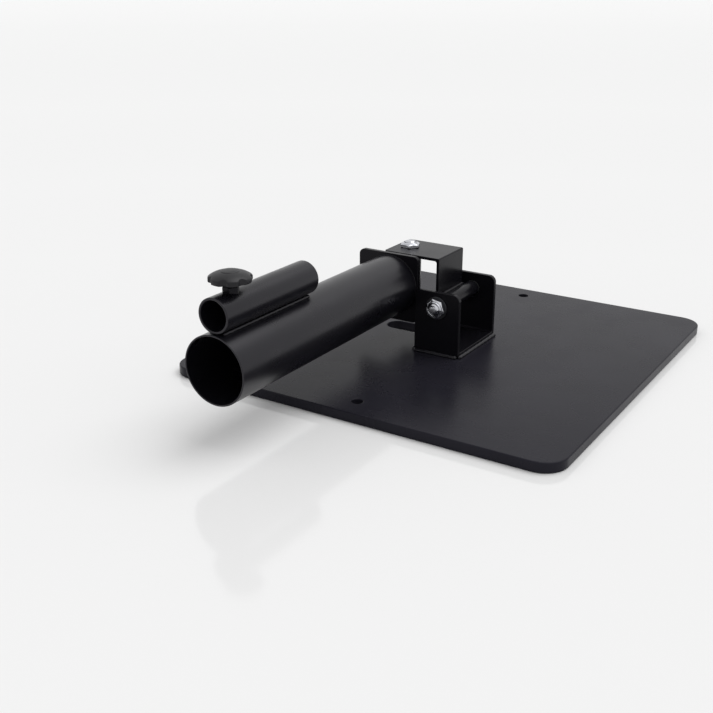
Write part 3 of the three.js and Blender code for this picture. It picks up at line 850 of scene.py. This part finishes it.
clamp_y = -246.58
boss_flats = 11
boss_bore = 3.1
boss_low = 103
boss_top = 118.4
boss_profile = [(boss_bore, boss_low)]
boss_profile += hexagon_side(boss_flats, boss_low, boss_top, slope=0.2)
boss_profile += [(boss_bore + 0.4, boss_top), (boss_bore, boss_top - 0.4)]
boss = lofted(
    "clamp_boss", laid(turned_rings(boss_profile), (tube_x, clamp_y, 0), (0, 0, 1)),
    bracket_coat, hoop=True, sharp=32)
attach(boss, "swivel")
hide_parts("clamp_nut")

stud_radius = 3
stud_low = 110.7
stud_high = 125.7
stud_thread_depth = 0.4
stud_thread_step = 0.125
stud_profile = [(0, stud_low), (2.3, stud_low)]
stud_steps = ceil((stud_high - stud_low - 0.8) / stud_thread_step)
for i in range(stud_steps + 1):
    height = stud_low + 0.3 + i * stud_thread_step

    def stud_thread(angle, height=height):
        turns = (height - angle / (2 * pi)) % 1
        groove = stud_thread_depth * (1 - abs(2 * turns - 1))
        return min(stud_radius - groove, 2.4 + (height - stud_low))

    stud_profile.append((stud_thread, height))
stud_profile.append((0, stud_high))
stud = lofted(
    "clamp_threaded_stud", laid(turned_rings(stud_profile), (tube_x, clamp_y, 0), (0, 0, 1)),
    zinc, sharp=60)
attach(stud, "clamp_stud")
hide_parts("clamp_screw")


def knob_plastic(name):
    """Black moulded plastic: spark-eroded grain, a little lighter in random patches."""
    finish, tree, shader, place = blank_finish(name)
    clouds = grain(tree, place, 60, 4, (-800, 300))
    black = tint(tree, clouds, (0.0062, 0.006, 0.008), (0.009, 0.0088, 0.011), (-520, 300))
    tree.links.new(black, shader.inputs["Base Color"])
    gloss = spread(tree, grain(tree, place, 160, 5, (-800, 60)), 0.33, 0.45, (-520, 40))
    tree.links.new(gloss, shader.inputs["Roughness"])
    relief(tree, shader, [
        (grain(tree, place, 2400, 2, (-800, -260)), 0.22, 0.00006),
        (grain(tree, place, 380, 3, (-800, -500)), 0.08, 0.0001),
    ])
    shader.inputs["Specular IOR Level"].default_value = 0.3
    return finish


moulded_black = knob_plastic("knob_black_plastic")
knob_low = 118.7
knob_turn = radians(-69.7)
knob_radius = 15.8
knob_lobes = 7
scallop_radius = 4.2
scallop_reach = knob_radius + 2.3


def eased_least(one, other, soft):
    """The smaller of two radii, with their crossing rounded off."""
    return min(one, other) - soft * max(0, 1 - abs(one - other) / soft) ** 2 / 4


def knob_edge(angle):
    """The knob's outline: lobes between round scallops, which are cut upright."""
    half_lobe = pi / knob_lobes
    off = (angle + half_lobe) % (2 * half_lobe) - half_lobe
    inside = scallop_radius ** 2 - (scallop_reach * sin(off)) ** 2
    if inside <= 0:
        return knob_radius
    return eased_least(scallop_reach * cos(off) - sqrt(inside), knob_radius, 0.35)


def knob_ring(dome, inset):
    """A ring of the knob's dome, cut short where a scallop stands inside it."""
    return lambda angle: eased_least(dome, knob_edge(angle) - inset, 0.3)


knob_profile = [(0, 0.35), (3.1, 0.35), (3.3, 0), (5.9, 0), (6, 0.1), (6, 1.9)]
knob_profile += [(knob_ring(radius, inset), height) for radius, inset, height in (
    (8, 0.5, 2.4), (12, 0.5, 2.75), (14.6, 0.5, 3.05), (15.35, 0.3, 3.25), (15.7, 0.1, 3.6),
    (15.8, 0, 4.2), (15.8, 0, 5.9), (15.7, 0, 6.45), (15.35, 0.02, 6.9), (14.85, 0.05, 7.25),
    (14.3, 0.1, 7.6), (13.7, 0.15, 7.97), (13, 0.2, 8.35), (12.2, 0.2, 8.75), (11.2, 0.2, 9.18),
    (10, 0.2, 9.62), (8.8, 0.2, 9.98), (7.6, 0.2, 10.28))]
knob_profile += [
    (6.95, 10.4), (6.8, 10.46), (6.68, 10.62), (6.45, 10.76), (6, 10.86),
    (4.5, 11.1), (2.5, 11.32), (0, 11.38),
]
knob_rings = turned_rings(knob_profile, knob_turn, around=196)
knob = lofted(
    "star_knob", laid(knob_rings, (tube_x, clamp_y, knob_low), (0, 0, 1)), moulded_black,
    sharp=50)
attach(knob, "clamp_knob")
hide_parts("knob_head")


# Studio: a plain pale floor that runs to the horizon, even light from all
# around, one broad soft light from above, and the photograph's camera.

pale = 0.905
floor_finish = bpy.data.materials.new("studio_floor_paint")
floor_finish.use_nodes = True
floor_shader = floor_finish.node_tree.nodes["Principled BSDF"]
floor_shader.inputs["Base Color"].default_value = (pale, pale, pale, 1)
floor_shader.inputs["Roughness"].default_value = 0.1
floor_shader.inputs["Specular IOR Level"].default_value = 0.5
floor_mesh = bpy.data.meshes.new("studio_floor")
floor_half = 60
floor_corners = [
    (x * floor_half, y * floor_half, 0) for x, y in ((-1, -1), (1, -1), (1, 1), (-1, 1))]
floor_mesh.from_pydata(floor_corners, [], [(0, 1, 2, 3)])
floor_mesh.materials.append(floor_finish)
studio_floor = bpy.data.objects.new("studio_floor", floor_mesh)
bpy.context.scene.collection.objects.link(studio_floor)

sky_light = 0.62
world = bpy.data.worlds.new("studio_surround")
world.use_nodes = True
bpy.context.scene.world = world
tree = world.node_tree
surround = tree.nodes["Background"]
surround.inputs["Color"].default_value = (1, 1, 1, 1)
paths = node(tree, "ShaderNodeLightPath", (-700, 0))
seen = node(tree, "ShaderNodeMath", (-480, 0), operation="MAXIMUM")
tree.links.new(paths.outputs["Is Camera Ray"], seen.inputs[0])
tree.links.new(paths.outputs["Is Glossy Ray"], seen.inputs[1])
seen_through = node(tree, "ShaderNodeMath", (-300, 0), operation="MAXIMUM")
tree.links.new(seen.outputs[0], seen_through.inputs[0])
tree.links.new(paths.outputs["Is Transmission Ray"], seen_through.inputs[1])
level = node(tree, "ShaderNodeMapRange", (-120, 0))
level.inputs["To Min"].default_value = sky_light
level.inputs["To Max"].default_value = pale
tree.links.new(seen_through.outputs[0], level.inputs["Value"])
tree.links.new(level.outputs["Result"], surround.inputs["Strength"])

lamp = bpy.data.lights.new("broad_soft_light", "SUN")
lamp.energy = 1.3
lamp.angle = radians(50)
soft_light = bpy.data.objects.new("broad_soft_light", lamp)
soft_light.rotation_euler = (radians(-18), radians(16), 0)
bpy.context.scene.collection.objects.link(soft_light)

camera_data = bpy.data.cameras.new("camera")
camera_data.sensor_width = 36
camera_data.lens = 52.28
camera = bpy.data.objects.new("camera", camera_data)
camera.location = (0.3927, -0.7783, 0.3354)
camera.rotation_euler = (radians(68.55), 0, radians(32.55))
bpy.context.scene.collection.objects.link(camera)
bpy.context.scene.camera = camera
bpy.context.scene.view_settings.view_transform = "Standard"
